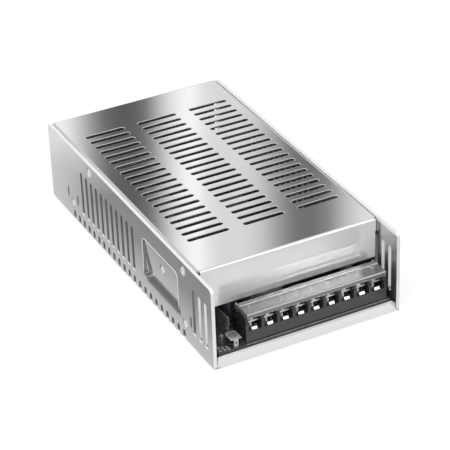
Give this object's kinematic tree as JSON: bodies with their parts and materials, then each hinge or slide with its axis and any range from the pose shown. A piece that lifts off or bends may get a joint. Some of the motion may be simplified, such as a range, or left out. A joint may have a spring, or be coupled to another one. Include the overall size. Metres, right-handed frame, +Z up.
{
  "type": "power supply",
  "caption": "Flat enclosed power supply in a bright folded case with long vents, a row of screw terminals under a clear hinged cover and a trimmer beside them.",
  "frame": {"origin": "centre of the case's underside", "axes": "+Z up, +Y away from the terminals along the length, +X across the width with the trimmer on the -X side"},
  "size_m": [0.115, 0.215, 0.051],
  "materials": {
    "bright_sheet": "bright smooth sheet",
    "bright_screw": "bright nickel",
    "terminal_metal": "tinned",
    "black_plastic": "satin",
    "clear_plastic": "clear glossy",
    "board": "satin",
    "film": "glossy",
    "brass": "turned",
    "heat_aluminium": "plain",
    "pad": "matte",
    "sleeve": "shrunk sleeve",
    "ferrite": "sintered",
    "copper": "enamelled wire",
    "tape": "taped",
    "bobbin": "moulded",
    "box_plastic": "moulded",
    "ceramic": "dipped",
    "chip": "moulded",
    "clear_glass": "clear",
    "lamp": "tinted clear",
    "white_ceramic": "fired"
  },
  "bodies": {
    "housing": {"case": "bright_sheet", "lid": "bright_sheet", "lid_screws": "bright_screw", "side_screws": "bright_screw", "clamp_screws": "bright_screw", "insulating_film": "film", "board_standoffs": "brass", "board_screws": "bright_screw", "circuit_board": "board", "terminal_block": "black_plastic", "terminal_plates": "terminal_metal", "terminal_washers": "terminal_metal", "terminal_screws": "terminal_metal", "trimmer_frame": "terminal_metal", "trimmer_base": "black_plastic", "indicator_lamp": "lamp", "barrier_sheet": "film", "rectifier_spreader": "heat_aluminium", "transistor_spreader": "heat_aluminium", "thermal_pads": "pad", "output_rectifiers": "chip", "switching_transistors": "chip", "clamp_strips": "bright_screw", "clamp_nuts": "bright_screw", "bulk_capacitors": "sleeve", "output_capacitors": "sleeve", "small_capacitors": "sleeve", "output_choke_core": "ferrite", "output_choke_winding": "copper", "transformer_core": "ferrite", "transformer_bobbin": "bobbin", "transformer_winding": "tape", "driver_transformer_core": "ferrite", "driver_transformer_coil": "tape", "line_choke_core": "ferrite", "line_choke_coils": "copper", "box_capacitor": "box_plastic", "fuse": "clear_glass", "fuse_clips": "terminal_metal", "varistor": "ceramic", "thermistor": "chip", "y_capacitors": "ceramic", "bridge_rectifier": "chip", "drum_inductor": "ferrite", "control_chip": "chip", "optocoupler": "chip", "film_capacitors": "box_plastic", "resistors": "ceramic", "power_resistor": "white_ceramic"},
    "clear_cover": {"terminal_cover": "clear_plastic"},
    "trimmer": {"trimmer_rotor": "terminal_metal"}
  },
  "joints": [
    {"name": "clear_cover_hinge", "type": "hinge", "parent": "housing", "child": "clear_cover", "pos_m": [0.0077, -0.0922, 0.0242], "axis": [-1, 0, 0], "range_deg": [0, 90]},
    {"name": "trimmer_turn", "type": "hinge", "parent": "housing", "child": "trimmer", "pos_m": [-0.0418, -0.0998, 0.014], "axis": [0, 0, 1], "range_deg": [-135, 135]}
  ]
}
